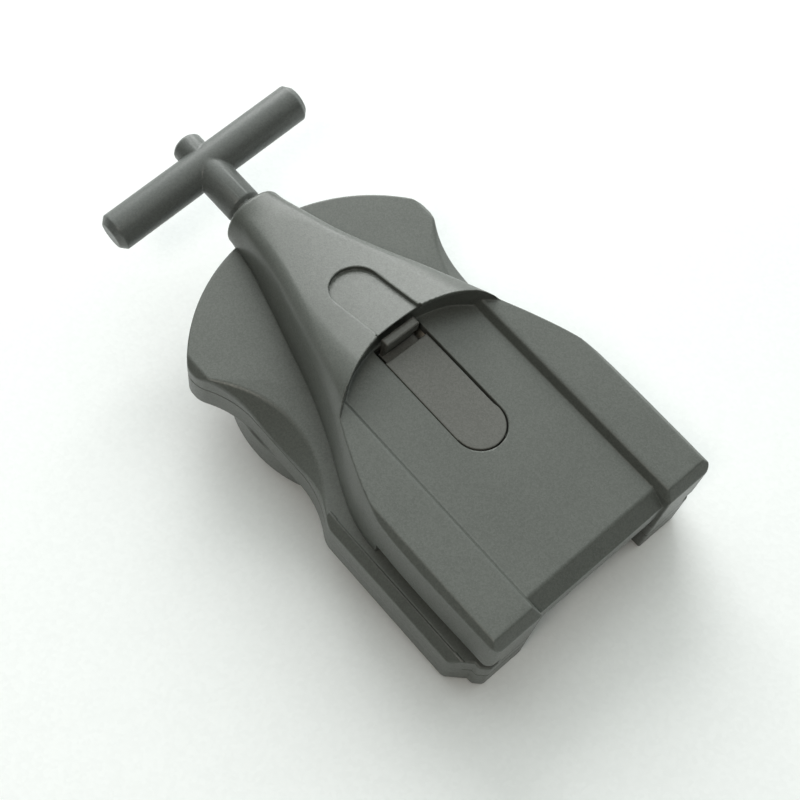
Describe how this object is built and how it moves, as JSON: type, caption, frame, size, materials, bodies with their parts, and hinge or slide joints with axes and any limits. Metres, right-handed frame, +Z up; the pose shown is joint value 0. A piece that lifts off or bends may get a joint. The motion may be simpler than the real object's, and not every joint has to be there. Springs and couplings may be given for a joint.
{
  "type": "spinning top launcher",
  "caption": "Hand-held string launcher for spinning tops: flaring hooded cover with railed grip channel, lobed case with finger scoops, T-handle and hooked spinning head.",
  "frame": {"origin": "on the spin axis, in the mouth of the launch head's socket, level with the skirt rim", "axes": "+Z up along the spin axis, +Y towards the pull handle, +X to the right"},
  "size_m": [0.058, 0.115, 0.0378],
  "materials": {
    "cover": "satin, fine metallic fleck",
    "case": "satin, fine metallic fleck",
    "handle": "satin, dark grey",
    "head": "satin, black grey",
    "catch": "satin, dark brown grey",
    "spool": "plain, natural",
    "washer": "plain, white",
    "steel": "ground",
    "brass": "turned",
    "screw": "zinc",
    "string": "braided"
  },
  "bodies": {
    "housing": {"lower_case": "case", "deck": "case", "top_cover": "cover", "shaft_bush": "brass", "cord_guide": "steel", "catch_keeper": "case", "catch_spring": "steel", "recoil_spring": "steel", "case_screws": "screw", "cover_screws": "screw", "keeper_screws": "screw"},
    "head": {"launch_head": "head", "drive_shaft": "steel", "thrust_washer": "washer", "ratchet_wheel": "brass", "retaining_ring": "steel"},
    "spool": {"spool": "spool", "pawl_pins": "steel", "pawl_springs": "steel", "string_winding": "string"},
    "pawl_left": {"pawl_left": "steel"},
    "pawl_right": {"pawl_right": "steel"},
    "string_end": {"string_lead": "string", "string_knot": "string"},
    "handle": {"pull_handle": "handle"},
    "catch": {"grip_catch": "catch"}
  },
  "joints": [
    {"name": "handle_pull", "type": "slide", "parent": "housing", "child": "string_end", "axis": [0, 1, 0], "range_m": [0, 0.42], "stiffness_N_per_m": 8, "springref_m": -0.3, "deforming": ["string_lead"]},
    {"name": "handle_turn", "type": "hinge", "parent": "string_end", "child": "handle", "pos_m": [0, 0.0472, 0.0182], "axis": [0, 1, 0], "continuous": true},
    {"name": "spool_spin", "type": "hinge", "parent": "housing", "child": "spool", "pos_m": [0, 0, 0.0182], "axis": [0, 0, 1], "range_deg": [0, 2599], "deforming": ["recoil_spring"]},
    {"name": "head_spin", "type": "hinge", "parent": "housing", "child": "head", "pos_m": [0, 0, 0], "axis": [0, 0, 1], "range_deg": [0, 2599]},
    {"name": "pawl_left_swing", "type": "hinge", "parent": "spool", "child": "pawl_left", "pos_m": [0.00711, 0.00428, 0.0225], "axis": [0, 0, 1], "range_deg": [-12, 0], "stiffness_Nm_per_rad": 0.002, "springref_deg": 11.46, "deforming": ["pawl_springs"]},
    {"name": "pawl_right_swing", "type": "hinge", "parent": "spool", "child": "pawl_right", "pos_m": [-0.00711, -0.00428, 0.0225], "axis": [0, 0, 1], "range_deg": [-12, 0], "stiffness_Nm_per_rad": 0.002, "springref_deg": 11.46},
    {"name": "catch_press", "type": "slide", "parent": "housing", "child": "catch", "axis": [0, 0, 1], "range_m": [-0.0016, 0], "stiffness_N_per_m": 900, "springref_m": 0.0012, "deforming": ["catch_spring"]}
  ],
  "couplings": [
    {"joint": "spool_spin", "follows": "handle_pull", "rad_per_m": 108},
    {"joint": "head_spin", "follows": "handle_pull", "rad_per_m": 108}
  ]
}
